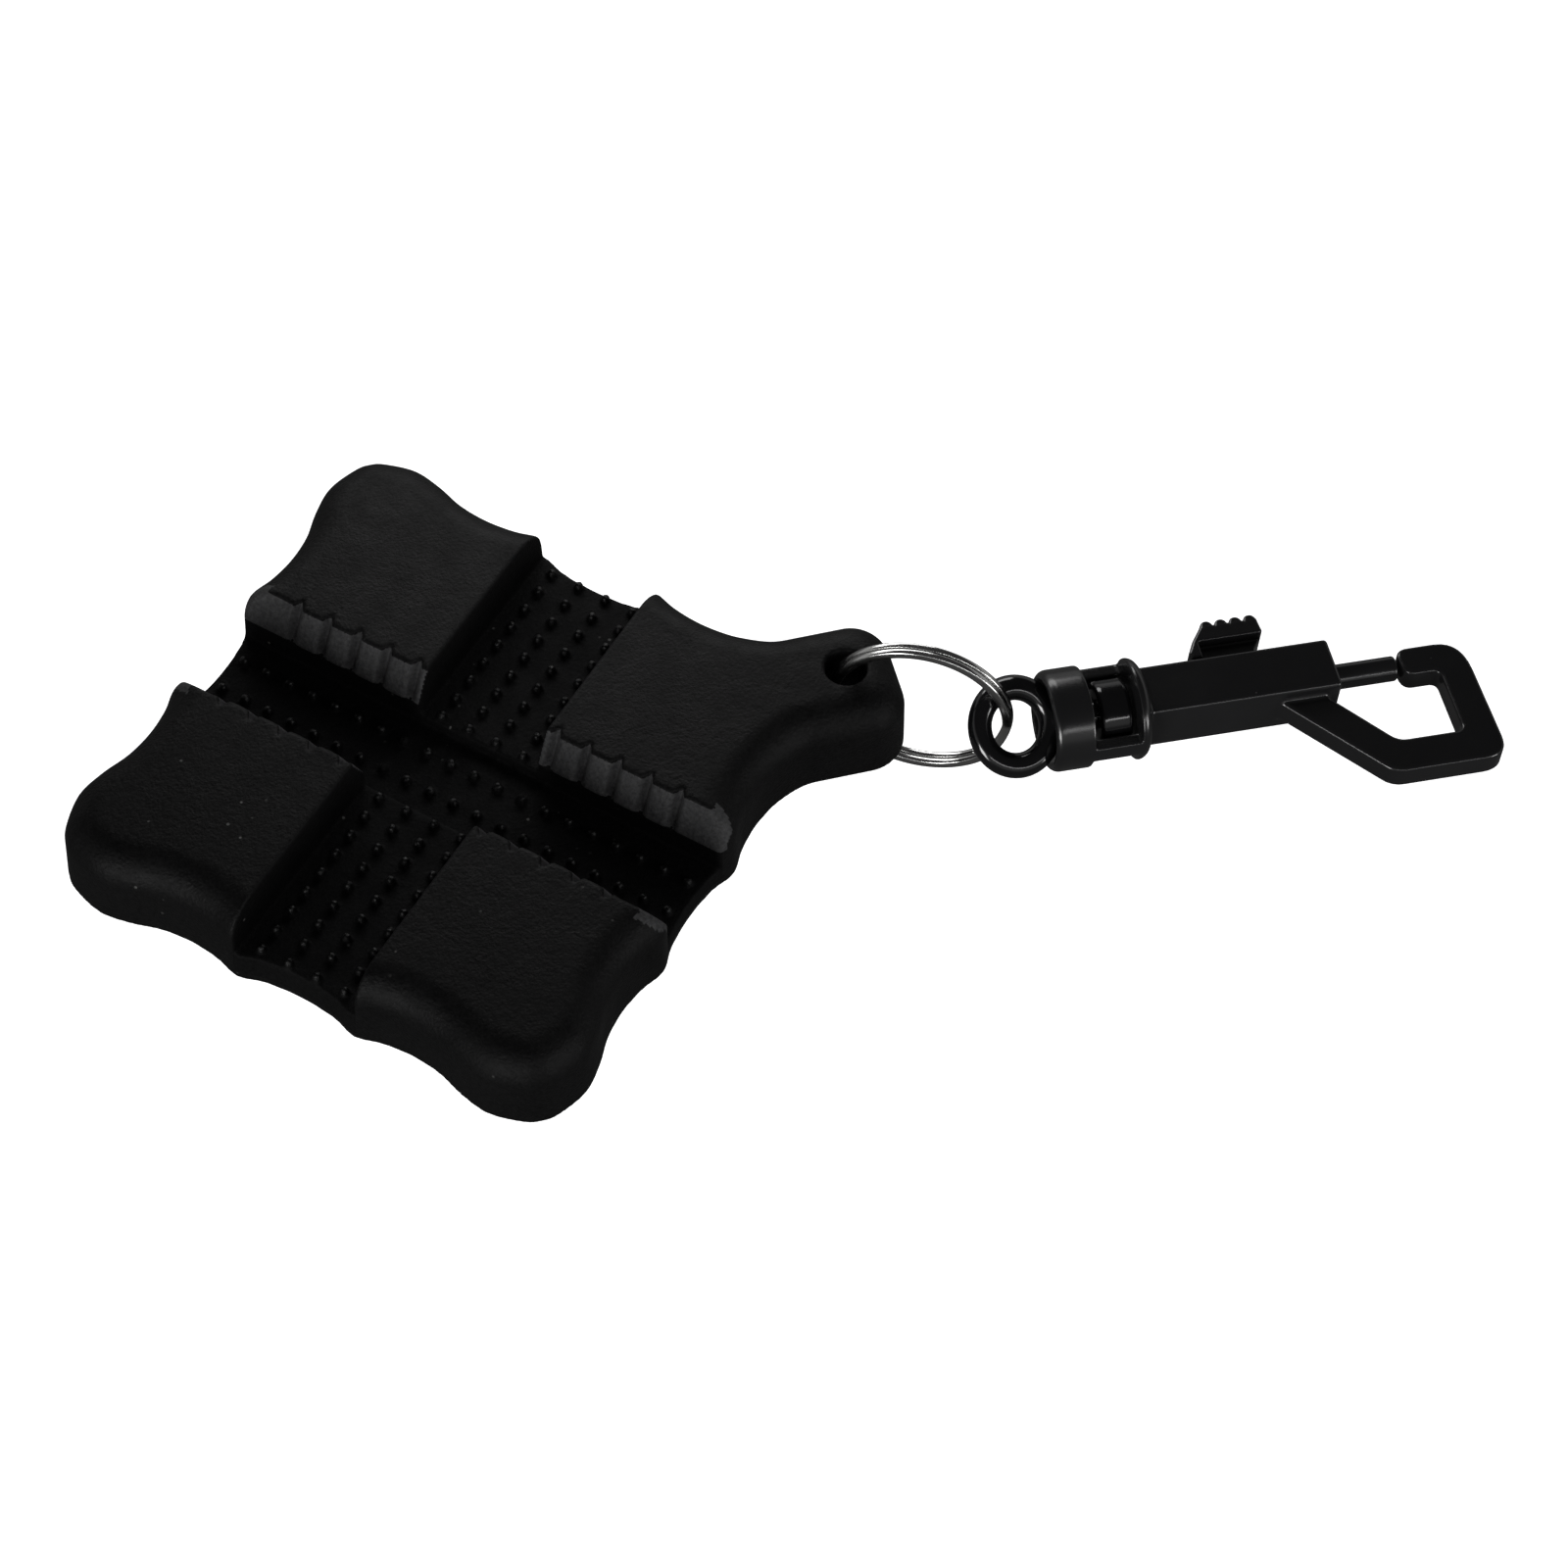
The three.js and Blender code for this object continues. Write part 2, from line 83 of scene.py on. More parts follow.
# The clip's own axes: x from the eye's centre to the hook's nose, y away from the hook, z up.
CLIP_X = unit(JOINTS["hook_swivel"]["axis"])
CLIP_Y = unit(np.cross((0, 0, 1), CLIP_X))
CLIP_Z = np.cross(CLIP_X, CLIP_Y)
CLIP_TURN = np.stack([CLIP_X, CLIP_Y, CLIP_Z], axis=1)
EYE = np.asarray(JOINTS["hook_swivel"]["pos_m"], float) / MM
RING_AXIS = -unit(JOINTS["eye_slide"]["axis"])
RING_CENTRE = np.asarray(JOINTS["eye_slide"]["pos_m"], float) / MM


def clip_place(points):
    """Clip coordinates, in millimetres, to the row frame."""
    return EYE + np.asarray(points, float) @ CLIP_TURN.T


# ---------------------------------------------------------------- camera

VIEW_YAW = -17.08 * DEG
VIEW_DOWN = 54.69 * DEG
VIEW_ROLL = 2.61 * DEG
VIEW_DISTANCE = 623.46
SENSOR_WIDTH = 36
FOCAL = 3.11965          # focal length over the sensor's width
AIM_RIGHT = 42.1862      # how far the view's centre passes to the right of the block's base centre
AIM_UP = 2.2483          # and above it, both across the line of sight


def set_camera():
    toward = np.array([-math.sin(VIEW_YAW) * math.cos(VIEW_DOWN), math.cos(VIEW_YAW) * math.cos(VIEW_DOWN),
                       -math.sin(VIEW_DOWN)])
    right = np.array([math.cos(VIEW_YAW), math.sin(VIEW_YAW), 0])
    up = np.cross(right, toward)
    right_r = right * math.cos(VIEW_ROLL) + up * math.sin(VIEW_ROLL)
    up_r = -right * math.sin(VIEW_ROLL) + up * math.cos(VIEW_ROLL)
    place = -toward * VIEW_DISTANCE + right_r * AIM_RIGHT + up_r * AIM_UP
    data = bpy.data.cameras.new("camera")
    data.sensor_width = SENSOR_WIDTH
    data.lens = SENSOR_WIDTH * FOCAL
    data.clip_start = 0.01
    data.clip_end = 20
    camera = bpy.data.objects.new("camera", data)
    bpy.context.scene.collection.objects.link(camera)
    turn = Matrix(np.stack([right_r, up_r, -toward], axis=1).tolist()).to_4x4()
    camera.matrix_world = Matrix.Translation(Vector((place * MM).tolist())) @ turn
    bpy.context.scene.camera = camera


set_camera()


# ---------------------------------------------------------------- solids as distance fields

def smooth_min(a, b, k):
    h = np.maximum(k - np.abs(a - b), 0) / k
    return np.minimum(a, b) - h * h * k / 4


def smooth_max(a, b, k):
    return -smooth_min(-a, -b, k)


def rounded(q, radius):
    """A rounded extrusion or box, from its distances q past each face."""
    outside = np.sqrt(sum(np.maximum(d, 0) ** 2 for d in q))
    nearest = q[0]
    for d in q[1:]:
        nearest = np.maximum(nearest, d)
    return outside + np.minimum(nearest, 0) - radius


def box_field(p, low, high, radius):
    q = []
    for axis in range(3):
        middle = (low[axis] + high[axis]) / 2
        half = (high[axis] - low[axis]) / 2 - radius
        q.append(np.abs(p[axis] - middle) - half)
    return rounded(q, radius)


def rod_field(p, start, end, rod_radius, edge):
    """A rod along x."""
    across = np.sqrt(p[1] ** 2 + p[2] ** 2) - (rod_radius - edge)
    along = np.abs(p[0] - (start + end) / 2) - ((end - start) / 2 - edge)
    return rounded((across, along), edge)


def outline_distance(x, y, points):
    """Signed distance to a closed outline, negative inside."""
    shape = x.shape
    px, py = x.ravel(), y.ravel()
    best = np.full(px.shape, 1e9)
    inside = np.zeros(px.shape, bool)
    pts = np.asarray(points, float)
    for (ax, ay), (bx, by) in zip(pts, np.roll(pts, -1, axis=0)):
        ex, ey = bx - ax, by - ay
        length = ex * ex + ey * ey
        if length < 1e-12:
            continue
        t = np.clip(((px - ax) * ex + (py - ay) * ey) / length, 0, 1)
        best = np.minimum(best, (px - ax - t * ex) ** 2 + (py - ay - t * ey) ** 2)
        if ay != by:
            cross = (ay > py) != (by > py)
            inside ^= cross & (px < ax + (py - ay) * ex / ey)
    return np.where(inside, -1, 1).reshape(shape) * np.sqrt(best).reshape(shape)


def net_of(field, low, high, cell):
    """The zero surface of a field: a point and a normal in each cell it crosses, and the quads between."""
    axes = [np.arange(low[i], high[i] + cell, cell) for i in range(3)]
    grid = np.meshgrid(*axes, indexing="ij")
    f = field(grid).astype(np.float32)
    inside = f < 0
    nx, ny, nz = f.shape
    total = np.zeros((nx - 1, ny - 1, nz - 1, 3), np.float32)
    count = np.zeros((nx - 1, ny - 1, nz - 1), np.float32)
    corners = [(i, j, k) for i in (0, 1) for j in (0, 1) for k in (0, 1)]
    for a in corners:
        for axis in range(3):
            if a[axis]:
                continue
            b = list(a)
            b[axis] = 1
            fa = f[a[0]:nx - 1 + a[0], a[1]:ny - 1 + a[1], a[2]:nz - 1 + a[2]]
            fb = f[b[0]:nx - 1 + b[0], b[1]:ny - 1 + b[1], b[2]:nz - 1 + b[2]]
            crossed = (fa < 0) != (fb < 0)
            t = np.where(crossed, fa / np.where(crossed, fa - fb, 1), 0)
            for c in range(3):
                offset = a[c] + (t if c == axis else 0)
                total[..., c] += np.where(crossed, offset, 0)
            count += crossed
    used = count > 0
    index = np.full(used.shape, -1, np.int64)
    index[used] = np.arange(used.sum())
    where = np.argwhere(used)
    local = total[used] / count[used][:, None]
    places = where + local
    gradient = np.stack(np.gradient(f), axis=-1)
    slopes = sample(gradient, places)
    normals = slopes / np.maximum(np.linalg.norm(slopes, axis=1, keepdims=True), 1e-9)
    points = np.asarray(low) + places * cell
    return points, normals, net_quads(inside, index)


def sample(volume, places):
    """A volume's values between its grid points."""
    base = np.minimum(np.floor(places).astype(int), np.array(volume.shape[:3]) - 2)
    t = places - base
    out = 0
    for i in (0, 1):
        for j in (0, 1):
            for k in (0, 1):
                weight = (np.where(i, t[:, 0], 1 - t[:, 0]) * np.where(j, t[:, 1], 1 - t[:, 1])
                          * np.where(k, t[:, 2], 1 - t[:, 2]))
                out = out + volume[base[:, 0] + i, base[:, 1] + j, base[:, 2] + k] * weight[:, None]
    return out


def net_quads(inside, index):
    """One quad for each grid edge that the surface crosses, facing out."""
    quads = []
    n = inside.shape
    for axis in range(3):
        b, c = (axis + 1) % 3, (axis + 2) % 3
        first = [slice(1, n[i] - 1) for i in range(3)]
        second = list(first)
        first[axis] = slice(0, n[axis] - 1)
        second[axis] = slice(1, n[axis])
        here, there = inside[tuple(first)], inside[tuple(second)]
        for outward, mask in ((True, here & ~there), (False, ~here & there)):
            where = np.argwhere(mask)
            cell = where.copy()
            cell[:, b] += 1
            cell[:, c] += 1
            ring = []
            for step_b, step_c in ((-1, -1), (0, -1), (0, 0), (-1, 0)):
                at = cell.copy()
                at[:, b] += step_b
                at[:, c] += step_c
                ring.append(index[at[:, 0], at[:, 1], at[:, 2]])
            ring = np.stack(ring, axis=1)
            quads.append(ring if outward else ring[:, ::-1])
    return np.concatenate(quads)


def make_object(name, points_mm, faces, normals=None):
    """A smooth-shaded object from points in the row frame."""
    mesh = bpy.data.meshes.new(name)
    mesh.from_pydata((np.asarray(points_mm) * MM).tolist(), [], [tuple(map(int, face)) for face in faces])
    mesh.polygons.foreach_set("use_smooth", np.ones(len(mesh.polygons), bool))
    if normals is not None:
        mesh.normals_split_custom_set_from_vertices(np.asarray(normals).tolist())
    mesh.update()
    obj = bpy.data.objects.new(name, mesh)
    bpy.context.scene.collection.objects.link(obj)
    return obj


def clip_object(name, field, low, high, cell):
    """A piece of the clip from a field in clip coordinates."""
    points, normals, quads = net_of(field, low, high, cell)
    return make_object(name, clip_place(points), quads, normals @ CLIP_TURN.T)


# ---------------------------------------------------------------- scrub block

HEIGHT = 12.2
TOP_ROUNDING = 4.6
SIDE_LEAN = 0.03
OUTLINE_INSET = 0.13     # keeps the surface inside the CAD block's box
FLOOR_A = 3.6            # the floor of channel A, which has the ribbed walls
FLOOR_B = 5.2            # the floor of channel B, which crosses it
HALF_A = 6.4
HALF_B = 8.8
RIB_FOOT = 7.3           # where the ribbed walls start to lean back
RIB_LEAN = 2.4 / 4.9
RIB_PITCH = 4.5
RIB_FIRST = 10.35
RIBS = 4
GROOVE_HALF = 0.85
GROOVE_DEPTH = 0.9
NUB_PITCH_A = 3.5
NUB_ROW_A = 2.5
NUB_PITCH_B = 3.34
NUB_FIRST_B = 7.4
NUB_ROWS_B = (2.03, 6.1)
LUG_END = 58.7
LUG_HALF = 8.55
LUG_CORNER = 5.6
LUG_ROOT = 26
HOLE_RADIUS = 2.72
HOLE_U = 51.5 * math.sqrt(0.5)
# The side's half outline: distance along the side from its middle, and distance out from the block's centre.
SIDE_HALF = [(0, 35.1), (5.0, 35.5), (8.6, 36.5), (12.2, 35.6), (16.2, 35.2), (20.4, 35.6), (24.4, 36.8),
             (28.6, 37.4), (33.0, 36.2)]
CORNER = 34.9
BLOCK_CELL = 0.31


def closed_spline(points, steps):
    """A smooth closed curve through the points."""
    p = np.asarray(points, float)
    before, after, beyond = np.roll(p, 1, 0), np.roll(p, -1, 0), np.roll(p, -2, 0)
    out = []
    for s in range(steps):
        t = s / steps
        out.append(0.5 * (2 * p + (after - before) * t + (2 * before - 5 * p + 4 * after - beyond) * t * t
                          + (3 * p - before - 3 * after + beyond) * t ** 3))
    return np.stack(out, axis=1).reshape(-1, 2)


def block_outline():
    """The block's plan in channel coordinates: u across channel B, v along it."""
    before = [(-a, w) for a, w in SIDE_HALF[:0:-1]]
    side = np.array(before + SIDE_HALF + [(CORNER, CORNER)], float)
    points = []
    for turn in range(4):
        c, s = math.cos(-turn * math.pi / 2), math.sin(-turn * math.pi / 2)
        points.append(side @ np.array([[c, s], [-s, c]]))
    return closed_spline(np.concatenate(points), 5)


def lug_distance(x, y):
    """Signed distance in plan to the lug, which runs along +X and ends in rounded corners."""
    qx = np.abs(x - (LUG_END + LUG_ROOT) / 2) - ((LUG_END - LUG_ROOT) / 2 - LUG_CORNER)
    qy = np.abs(y) - (LUG_HALF - LUG_CORNER)
    outside = np.sqrt(np.maximum(qx, 0) ** 2 + np.maximum(qy, 0) ** 2)
    return outside + np.minimum(np.maximum(qx, qy), 0) - LUG_CORNER


def rib_wave(along):
    """How far a ribbed wall stands proud: convex facets with narrow grooves between them."""
    a = np.abs(along)
    nearest = np.clip(np.round((a - RIB_FIRST) / RIB_PITCH), 0, RIBS) * RIB_PITCH + RIB_FIRST
    groove = np.clip(1 - np.abs(a - nearest) / GROOVE_HALF, 0, 1)
    lip = np.exp(-((np.abs(a - nearest) - 1.0) / 0.3) ** 2) * 0.12
    share = np.clip((a - RIB_FIRST) / RIB_PITCH, 0, RIBS)
    between = (a > RIB_FIRST) & (a < RIB_FIRST + RIBS * RIB_PITCH)
    crown = np.where(between, 0.45 * np.sin(share % 1 * math.pi), 0.08)
    return crown + lip - GROOVE_DEPTH * groove * groove * (3 - 2 * groove)


def block_field(grid):
    """The whole block, in channel coordinates."""
    u, v, z = grid
    plan_u, plan_v = u[:, :, 0], v[:, :, 0]
    body = outline_distance(plan_u, plan_v, block_outline())
    x, y = (plan_u + plan_v) * math.sqrt(0.5), (plan_v - plan_u) * math.sqrt(0.5)
    plan = smooth_min(body, lug_distance(x, y), 1.2)[:, :, None] + OUTLINE_INSET
    leaning = plan + TOP_ROUNDING + SIDE_LEAN * (z - 4)
    slab = rounded((leaning, z - (HEIGHT - TOP_ROUNDING)), TOP_ROUNDING)
    slab = smooth_max(slab, -z, 0.8)

    channel_b = smooth_max(np.abs(u) - HALF_B - 0.02 * (z - 8), FLOOR_B - z, 0.3)
    wave = rib_wave(u[:, :1, :1])
    shade = np.clip((z - 7.0) / 0.4, 0, 1)
    wall = np.maximum(0, z - RIB_FOOT) * RIB_LEAN + HALF_A - wave * shade
    channel_a = smooth_max((np.abs(v) - wall) * 0.9, FLOOR_A - z, 0.3)
    cut = np.minimum(channel_a, channel_b)
    solid = smooth_max(slab, -cut, 0.4)

    nubs = smooth_min(nub_field_a(u, v, z), nub_field_b(u, v, z), 0.1)
    solid = smooth_min(solid, nubs, 0.25)
    hole = np.sqrt((u - HOLE_U) ** 2 + (v - HOLE_U) ** 2) - HOLE_RADIUS
    return smooth_max(solid, -hole, 0.35)


def nub(across, z, floor, height=1.12):
    """A small tapered peg with a domed tip."""
    h = z - floor
    side = across - (0.66 - 0.16 * np.clip(h / height, 0, 1))
    return smooth_max(smooth_max(side, h - height, 0.45), -h - 0.6, 0.1)


def nub_field_a(u, v, z):
    """Two rows of nubs along channel A."""
    half = NUB_PITCH_A / 2
    du = u - (np.clip(np.round((u - half) / NUB_PITCH_A), -10, 9) * NUB_PITCH_A + half)
    dv = np.abs(v) - NUB_ROW_A
    return nub(np.sqrt(du ** 2 + dv ** 2), z, FLOOR_A)


def nub_field_b(u, v, z):
    """Four rows of nubs along channel B, on each side of the crossing."""
    inner, outer = NUB_ROWS_B
    du = np.abs(u) - np.where(np.abs(u) > 4.07, outer, inner)
    a = np.abs(v)
    dv = a - (np.clip(np.round((a - NUB_FIRST_B) / NUB_PITCH_B), 0, 8) * NUB_PITCH_B + NUB_FIRST_B)
    return nub(np.sqrt(du ** 2 + dv ** 2), z, FLOOR_B)


def block_zones(points, quads):
    """Each face's material: 0 pads and sides, 1 ribbed slopes, painted much lighter as painted light on
    faces turned to the front lamps, 2 channel walls and floors, 3 nubs, these two painted a little darker
    than the pads as painted shade in the channels.
    """
    u, v, z = points[quads].mean(axis=1).T
    in_b = np.abs(u) < 8.95
    in_a = np.abs(v) < HALF_A + np.maximum(0, z - RIB_FOOT) * RIB_LEAN + 0.3
    channel = (in_a | in_b) & (z > 1.5) & (z < 11.9)
    near_slope = np.abs(v) < 7.9 + np.maximum(0, z - RIB_FOOT) * 0.49
    slope = near_slope & ~in_b & (z > 7.15) & (z < 11.85) & (np.abs(u) < 36)
    floor = np.where(in_b & (np.abs(v) > HALF_A), FLOOR_B, FLOOR_A)
    nubs = channel & (z > floor + 0.3) & (z < floor + 1.3) & (np.where(in_b, 8.9, 99) - np.abs(u) > 0.9)
    nubs &= (np.abs(v) < 5.4) | (in_b & (np.abs(v) > 6.6))
    return np.where(slope, 1, np.where(nubs, 3, np.where(channel, 2, 0)))


def make_block():
    low, high = (-39.5, -39.5, -0.8), (48.8, 48.8, 13.2)
    points, normals, quads = net_of(block_field, low, high, BLOCK_CELL)
    s = math.sqrt(0.5)
    turn = np.array([[s, s, 0], [-s, s, 0], [0, 0, 1]])
    obj = make_object("rubber_block", points @ turn.T, quads, normals @ turn.T)
    for look in (rubber_look("rubber_pads", 0.0016, 0.0044, 0.11, 0.50),
                 # The ribbed slopes' colour is painted light: the same rubber as the pads, painted about ten
                 # times lighter where the facets face the front lamps.
                 rubber_look("rubber_ribs_painted_light", 0.030, 0.044, 0.22, 0.6),
                 # The channels' and nubs' colour is painted shade: the same rubber as the pads, painted a
                 # little darker in the channel recesses.
                 rubber_look("rubber_channels_painted_shade", 0.0018, 0.0036, 0.08, 0.68),
                 rubber_look("rubber_nubs_painted_shade", 0.0018, 0.0036, 0.22, 0.34)):
        obj.data.materials.append(look)
    obj.data.polygons.foreach_set("material_index", block_zones(points, quads).astype(np.int32))
    return obj


# ---------------------------------------------------------------- clip

CAGE_R = 6.6
CAGE_MOUTH = 3.6
CAGE_END = 16.6
CUP_FLOOR = 6.6


def radial(p):
    """Distance from the clip's axis."""
    return np.sqrt(p[1] ** 2 + p[2] ** 2)


def cage_field(p):
    """The round cage: a cup at its mouth, a window right through it, and the neck's hole."""
    shell = rod_field(p, CAGE_MOUTH, CAGE_END, CAGE_R, 1.3)
    cup_radius = np.clip(5.72 - (p[0] - CAGE_MOUTH) * 0.44, 4.8, 6.4)
    cup = smooth_max(radial(p) - cup_radius, p[0] - CUP_FLOOR, 0.3)
    bars = smooth_max(np.abs(p[2]) - 1.3, 4.7 - np.abs(p[1]), 0.3)
    window = smooth_max(box_field(p, (8.9, -12, -12), (15.1, 12, 12), 0.4), -bars, 0.3)
    neck = rod_field(p, 3, 10, 2.2, 0.1)
    for cutter in (cup, window, neck):
        shell = smooth_max(shell, -cutter, 0.3)
    return shell


# The flat hook's outline in clip coordinates: M starts it, L is a straight line and Q a rounded corner.
HOOK = [("M", 32.6, -2.0), ("L", 44.6, -15.9), ("Q", 45.6, -17.1, 47.4, -17.1), ("L", 57.8, -17.1),
        ("Q", 61.1, -17.1, 61.0, -13.9), ("L", 60.6, -3.0), ("Q", 60.4, 1.8, 56.6, 1.8), ("L", 53.0, 1.8),
        ("Q", 51.4, 1.8, 51.4, 0.4), ("L", 51.5, -1.0), ("Q", 51.7, -2.5, 53.2, -2.5), ("L", 55.2, -2.5),
        ("Q", 56.2, -2.5, 56.2, -3.5),
        ("L", 56.3, -11.2), ("Q", 56.3, -12.2, 55.3, -12.2), ("L", 48.8, -12.2),
        ("Q", 47.6, -12.2, 46.8, -11.3), ("L", 39.0, -2.0)]


def traced(path, steps=7):
    """An outline's points, with its corners as quadratic curves."""
    out = []
    for step in path:
        if step[0] == "Q":
            a = np.array(out[-1])
            b, c = np.array(step[1:3]), np.array(step[3:5])
            for s in range(1, steps + 1):
                t = s / steps
                out.append(tuple(a * (1 - t) ** 2 + 2 * b * t * (1 - t) + c * t * t))
        else:
            out.append(step[1:3])
    return out


def hook_field(p):
    """The clip's main moulding: cage, square barrel and hook, bored for the bolt and slotted for its peg."""
    barrel = box_field(p, (15.6, -3.75, -3.75), (42.4, 3.75, 3.75), 0.55)
    plan = outline_distance(p[0][:, :, 0], p[1][:, :, 0], traced(HOOK))[:, :, None]
    edge = 0.45
    plate = rounded((plan + edge, np.abs(p[2]) - (1.75 - edge)), edge)
    solid = smooth_min(smooth_min(cage_field(p), barrel, 0.6), plate, 0.5)
    bore = rod_field(p, 17.4, 50, 1.95, 0.05)
    slot = box_field(p, (22.9, 0, -1.3), (33.7, 6, 1.3), 0.25)
    cut = smooth_min(np.where(p[0] < 43.5, bore, 9), slot, 0.2)
    return smooth_max(solid, -cut, 0.3)


def eye_field(p):
    """The tilted eye, its neck, and the head that turns inside the cage."""
    tilt = 37 * DEG
    x = p[0] / 0.93
    y = p[1] * math.cos(tilt) + p[2] * math.sin(tilt)
    z = -p[1] * math.sin(tilt) + p[2] * math.cos(tilt)
    ring = np.sqrt((np.sqrt(x ** 2 + y ** 2) - 5.0) ** 2 + z ** 2) - 1.65
    neck = rod_field(p, 4.8, 11, 1.88, 0.1)
    solid = smooth_min(ring * 0.95, neck, 0.9)
    head = rod_field(p, 10.4, 14.6, 4.2, 0.6)
    return smooth_min(solid, head, 0.3)


def pin_field(p):
    """The round bolt, with a socket for the slide's peg."""
    pin = rod_field(p, 29.4, 51.1, 1.65, 0.35)
    socket = box_field(p, (30.65, 0.75, -0.85), (33.15, 4, 0.85), 0.1)
    return smooth_max(pin, -socket, 0.15)


SLIDE = [(24.4, 4.05), (33.2, 4.05), (33.4, 5.2), (34.7, 6.9), (34.5, 8.9), (26.8, 8.9), (25.2, 6.8),
         (24.2, 5.0)]
SLIDE_HALF = 3.3
RIDGES = 4
RIDGE_PITCH = 1.95


def slide_field(p):
    """The thumb slide: four rounded ridges on a hollowed body, with a foot and a peg below."""
    plan = outline_distance(p[0][:, :, 0], p[1][:, :, 0], SLIDE)[:, :, None]
    edge = 0.4
    body = rounded((plan + edge, np.abs(p[2]) - (SLIDE_HALF - edge)), edge)
    for i in range(RIDGES):
        across = np.sqrt((p[0] - 27.7 - RIDGE_PITCH * i) ** 2 + (p[1] - 8.8) ** 2) - (0.85 - 0.3)
        ridge = rounded((across, np.abs(p[2]) - (SLIDE_HALF - 0.3)), 0.3)
        body = smooth_min(body, ridge, 0.25)
    pocket = box_field(p, (25.9, 2.0, 1.8), (38, 6.6, 8), 0.3)
    pocket = np.minimum(pocket, box_field(p, (25.9, 2.0, -8), (38, 6.6, -1.8), 0.3))
    body = smooth_max(body, -pocket, 0.3)
    foot = box_field(p, (30.4, 2.2, -1.0), (33.4, 4.6, 1.0), 0.12)
    peg = box_field(p, (30.8, 0.9, -0.7), (33.0, 2.6, 0.7), 0.1)
    return smooth_min(smooth_min(body, foot, 0.2), peg, 0.1)


def sweep(path, section, frames):
    """A closed section swept along an open path; frames gives each point's two section axes."""
    n, m = len(path), len(section)
    a, b = frames
    ring = (path[:, None, :] + a[:, None, :] * section[None, :, :1] + b[:, None, :] * section[None, :, 1:])
    points = ring.reshape(-1, 3)
    faces = []
    for i in range(n - 1):
        for j in range(m):
            k = (j + 1) % m
            faces.append((i * m + j, i * m + k, (i + 1) * m + k, (i + 1) * m + j))
    faces.append(tuple(range(m))[::-1])
    faces.append(tuple((n - 1) * m + j for j in range(m)))
    return points, faces


def rounded_section(wide, tall, corner, steps=4):
    """A rectangle with round corners."""
    out = []
    for k, (sx, sy) in enumerate(((1, 1), (-1, 1), (-1, -1), (1, -1))):
        for s in range(steps + 1):
            angle = (k + s / steps) * math.pi / 2
            out.append((sx * (wide / 2 - corner) + corner * math.cos(angle),
                        sy * (tall / 2 - corner) + corner * math.sin(angle)))
    return np.array(out)


RING_RADIUS = 11.3
RING_TURNS = 1.87
RING_JOG = 0.11          # how much of a turn the step between the two turns takes
TURN_PITCH = 1.02
SPRING_START = 18.0
SPRING_END = 28.8
SPRING_COILS = 6
SPRING_RADIUS = 1.3
SPRING_WIRE = 0.22


def ease(x):
    """A smooth step from 0 to 1."""
    t = np.clip(x, 0, 1)
    return t * t * (3 - 2 * t)


def make_ring():
    """Two turns of flattened wire, side by side, with a short jog between them."""
    steps = 420
    t = np.linspace(0, 1, steps)
    angle = t * RING_TURNS * 2 * math.pi
    side = (ease((t * RING_TURNS - RING_TURNS / 2 + RING_JOG / 2) / RING_JOG) - 0.5) * TURN_PITCH
    along = np.array([math.cos(math.atan2(-RING_AXIS[0], RING_AXIS[1])),
                      math.sin(math.atan2(-RING_AXIS[0], RING_AXIS[1])), 0])
    out = along[None, :] * np.cos(angle)[:, None] + np.array([0, 0, 1.0])[None, :] * np.sin(angle)[:, None]
    path = RING_CENTRE + out * RING_RADIUS + RING_AXIS[None, :] * side[:, None]
    across = np.repeat(RING_AXIS[None, :], steps, axis=0)
    section = rounded_section(1.23, 0.89, 0.3)
    points, faces = sweep(path, section, (out, across))
    return make_object("ring_wire", points, faces)


def make_spring():
    """The bolt's spring, six plain coils of round wire."""
    t = np.linspace(0, 1, 260)
    angle = t * SPRING_COILS * 2 * math.pi
    x = SPRING_START + (SPRING_END - SPRING_START) * t
    local = np.stack([x, SPRING_RADIUS * np.cos(angle), SPRING_RADIUS * np.sin(angle)], axis=1)
    outward = np.stack([0 * x, np.cos(angle), np.sin(angle)], axis=1)
    along = np.gradient(local, axis=0)
    along /= np.linalg.norm(along, axis=1, keepdims=True)
    side = np.cross(along, outward)
    turn = np.linspace(0, 2 * math.pi, 9)[:-1]
    ring = SPRING_WIRE * np.stack([np.cos(turn), np.sin(turn)], axis=1)
    points, faces = sweep(local, ring, (side, outward))
    return make_object("spring_wire", clip_place(points), faces)


# ---------------------------------------------------------------- materials

